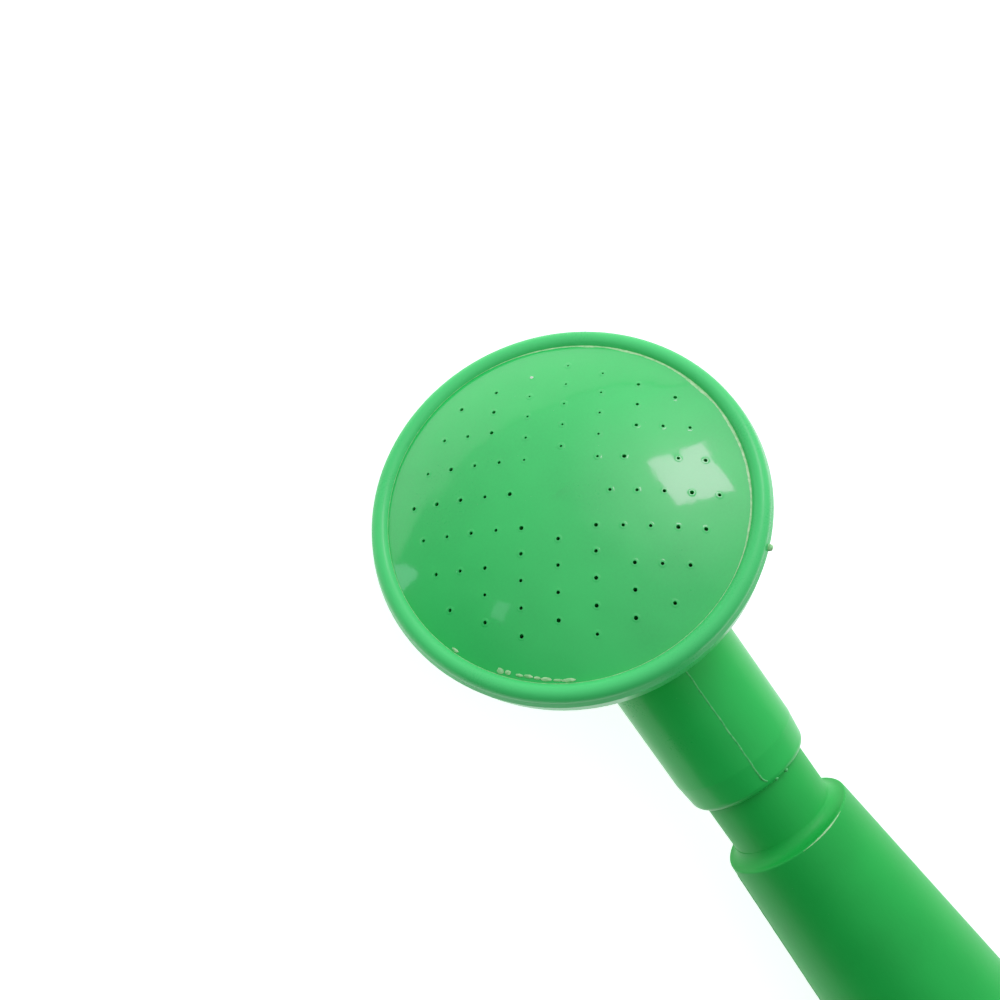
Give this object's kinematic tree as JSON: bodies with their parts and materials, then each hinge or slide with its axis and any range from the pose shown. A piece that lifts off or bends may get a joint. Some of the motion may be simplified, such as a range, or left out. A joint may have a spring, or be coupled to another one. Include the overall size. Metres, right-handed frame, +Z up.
{
  "type": "watering wand",
  "caption": "Hand-held watering wand with a turning domed spray rose, tapered barrel, quarter-turn thumb valve, soft grip and swivel hose nut.",
  "frame": {"origin": "middle of the open mouth of the hose nut, on the barrel's axis", "axes": "+Y along the barrel from the hose to the rose, +Z up towards the thumb lever and the side that the rose faces"},
  "size_m": [0.0834, 0.4448, 0.0673],
  "materials": {
    "gloss_green": "moulded bright green polypropylene, glossy, on the domed face",
    "satin_green": "moulded bright green polypropylene, satin",
    "matte_green": "moulded bright green polyethylene, matte with a soft sheen",
    "dark_green": "moulded dark green plastic, fine texture",
    "grip_rubber": "soft black-green grip rubber, fine texture",
    "seal_rubber": "smooth black rubber",
    "ball_acetal": "white acetal, smooth",
    "screw_steel": "stainless steel screws",
    "screen_steel": "stainless steel strainer"
  },
  "bodies": {
    "handle": {"barrel": "matte_green", "barrel_seal": "seal_rubber", "valve_body": "satin_green", "front_ball_seat": "ball_acetal", "rear_ball_seat": "ball_acetal", "seat_carrier": "dark_green", "stem_gland": "dark_green", "handle_tube": "satin_green", "handle_seal": "seal_rubber", "handle_screws": "screw_steel", "grip_sleeve": "grip_rubber", "grip_cap": "dark_green", "hose_tail": "satin_green", "tail_seal": "seal_rubber"},
    "neck_slider": {"rose_seal": "seal_rubber"},
    "rose": {"rose_face": "gloss_green", "rose_shell": "satin_green"},
    "valve_key": {"valve_ball": "ball_acetal", "valve_stem": "ball_acetal", "stem_seal": "seal_rubber", "valve_lever": "dark_green", "lever_screw": "screw_steel"},
    "hose_coupling": {"hose_nut": "dark_green", "hose_washer": "seal_rubber", "inlet_screen": "screen_steel"}
  },
  "joints": [
    {"name": "rose_pull", "type": "slide", "parent": "handle", "child": "neck_slider", "axis": [0.0401, 0.9992, 0], "range_m": [0, 0.024]},
    {"name": "rose_turn", "type": "hinge", "parent": "neck_slider", "child": "rose", "pos_m": [0.00329, 0.40783, 0], "axis": [0.0401, 0.9992, 0], "continuous": true},
    {"name": "valve_turn", "type": "hinge", "parent": "handle", "child": "valve_key", "pos_m": [0, 0.196, 0], "axis": [0, 0, 1], "range_deg": [0, 90]},
    {"name": "nut_turn", "type": "hinge", "parent": "handle", "child": "hose_coupling", "pos_m": [0, 0, 0], "axis": [0, 1, 0], "continuous": true}
  ]
}
